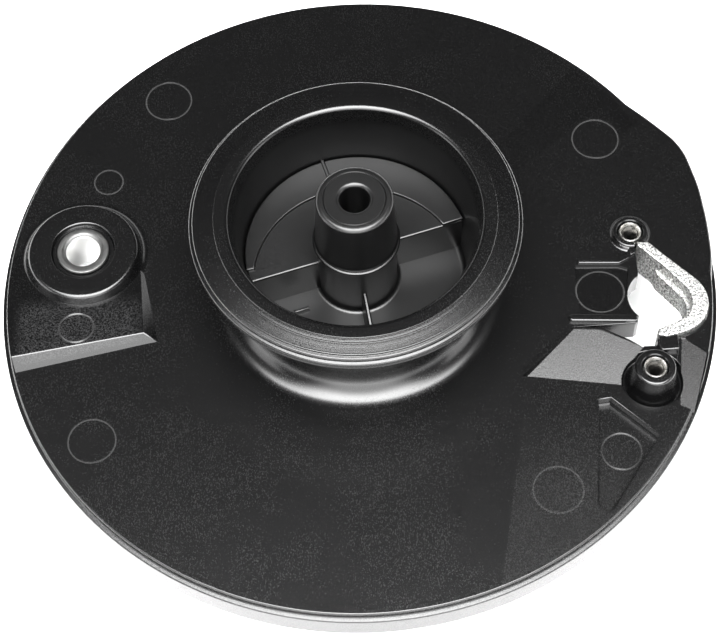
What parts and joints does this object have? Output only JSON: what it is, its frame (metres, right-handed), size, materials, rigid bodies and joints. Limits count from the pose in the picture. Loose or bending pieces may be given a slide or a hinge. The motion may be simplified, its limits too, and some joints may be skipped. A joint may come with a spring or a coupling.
{
  "type": "recoil starter",
  "caption": "Recoil starter of a small engine: moulded round plate with a hub turret, bushed bolt hole and rope exit, and the spring, drum and pawls beneath.",
  "frame": {"origin": "on the crank axis, at the lower edge of the drum well", "axes": "+Z along the crank axis, away from the engine; +X towards the rope exit; -Y towards the front of the plate"},
  "size_m": [0.18, 0.18, 0.0799],
  "materials": {
    "black_plastic": "matte",
    "grey_plastic": "satin",
    "cast_metal": "matte",
    "plated_steel": "satin",
    "sheet_steel": "satin",
    "sintered_steel": "satin",
    "spring_steel": "satin",
    "bronze": "satin"
  },
  "bodies": {
    "housing": {"housing": "black_plastic", "mount_bush": "plated_steel", "upper_insert": "plated_steel", "lower_insert": "plated_steel", "rope_guide": "cast_metal", "spindle": "plated_steel", "spring_cassette": "sheet_steel", "recoil_spring": "spring_steel", "spring_cover": "sheet_steel", "cover_screw_1": "plated_steel", "cover_screw_2": "plated_steel", "cover_screw_3": "plated_steel", "thrust_washer": "sheet_steel", "lock_washer": "plated_steel", "centre_screw": "plated_steel"},
    "drum": {"rope_drum": "grey_plastic", "drum_bush": "bronze", "friction_spring": "spring_steel", "pawl_pin_1": "plated_steel", "pawl_pin_2": "plated_steel", "pawl_spring_1": "spring_steel", "pawl_spring_2": "spring_steel"},
    "friction_plate": {"friction_plate": "sheet_steel"},
    "pawl_1": {"pawl_1": "sintered_steel"},
    "pawl_2": {"pawl_2": "sintered_steel"}
  },
  "joints": [
    {"name": "drum_spin", "type": "hinge", "parent": "housing", "child": "drum", "pos_m": [0, 0, 0.02], "axis": [0, 0, -1], "range_deg": [0, 1440], "stiffness_Nm_per_rad": 0.01, "springref_deg": -539.73, "deforming": ["recoil_spring"]},
    {"name": "friction_turn", "type": "hinge", "parent": "drum", "child": "friction_plate", "pos_m": [0, 0, 0.0086], "axis": [0, 0, 1], "range_deg": [0, 30], "stiffness_Nm_per_rad": 0.02},
    {"name": "pawl_1_swing", "type": "hinge", "parent": "drum", "child": "pawl_1", "pos_m": [0, 0.02, 0.0116], "axis": [0, 0, 1], "range_deg": [0, 35]},
    {"name": "pawl_2_swing", "type": "hinge", "parent": "drum", "child": "pawl_2", "pos_m": [0, -0.02, 0.0116], "axis": [0, 0, 1], "range_deg": [0, 35]}
  ],
  "couplings": [
    {"joint": "pawl_1_swing", "follows": "friction_turn", "ratio": 1.1666},
    {"joint": "pawl_2_swing", "follows": "friction_turn", "ratio": 1.1666}
  ]
}
